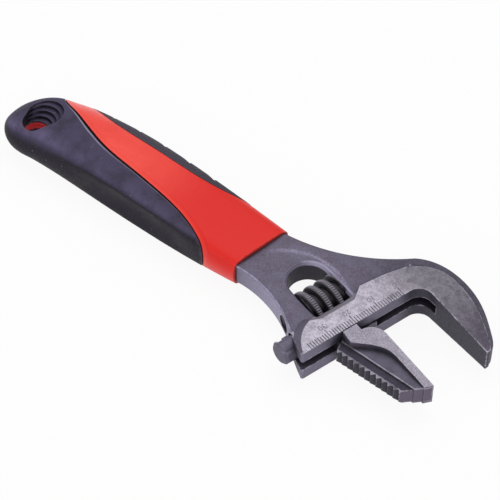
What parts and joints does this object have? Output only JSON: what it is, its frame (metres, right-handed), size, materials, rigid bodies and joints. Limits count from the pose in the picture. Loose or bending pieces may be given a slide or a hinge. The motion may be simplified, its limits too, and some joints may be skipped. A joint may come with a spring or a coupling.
{
  "type": "adjustable wrench",
  "caption": "Adjustable wrench with a worm-driven reversible sliding jaw, smooth on one side and toothed on the other, angled head and two-tone grip with a hang hole.",
  "frame": {"origin": "centre of the hang hole, at mid thickness of the wrench", "axes": "+X along the handle to the head, +Y to the fixed jaw's side, +Z out of the scale face, along the hang hole"},
  "size_m": [0.1948, 0.062, 0.0176],
  "materials": {
    "forged_steel": "dark phosphate, ground head faces",
    "jaw_steel": "dark phosphate",
    "worm_steel": "oiled black steel, knurled crests",
    "pin_steel": "oiled steel",
    "spring_steel": "bright spring wire",
    "grip_red": "satin moulded plastic",
    "grip_black": "soft-touch rubber",
    "strip_black": "soft-touch rubber"
  },
  "bodies": {
    "frame": {"wrench_body": "forged_steel", "worm_pin": "pin_steel", "worm_spring": "spring_steel", "grip_core": "grip_red", "grip_tail_pad": "grip_black", "grip_far_strip": "strip_black"},
    "jaw": {"sliding_jaw": "jaw_steel"},
    "worm": {"adjusting_worm": "worm_steel"}
  },
  "joints": [
    {"name": "jaw_slide", "type": "slide", "parent": "frame", "child": "jaw", "axis": [0.2588, 0.9659, 0], "range_m": [-0.0118, 0.0221]},
    {"name": "worm_spin", "type": "hinge", "parent": "frame", "child": "worm", "pos_m": [0.12525, 0.00322, 0], "axis": [0.2588, 0.9659, 0], "range_deg": [-1851.23, 988.91]}
  ],
  "couplings": [
    {"joint": "worm_spin", "follows": "jaw_slide", "rad_per_m": -1461.2}
  ]
}
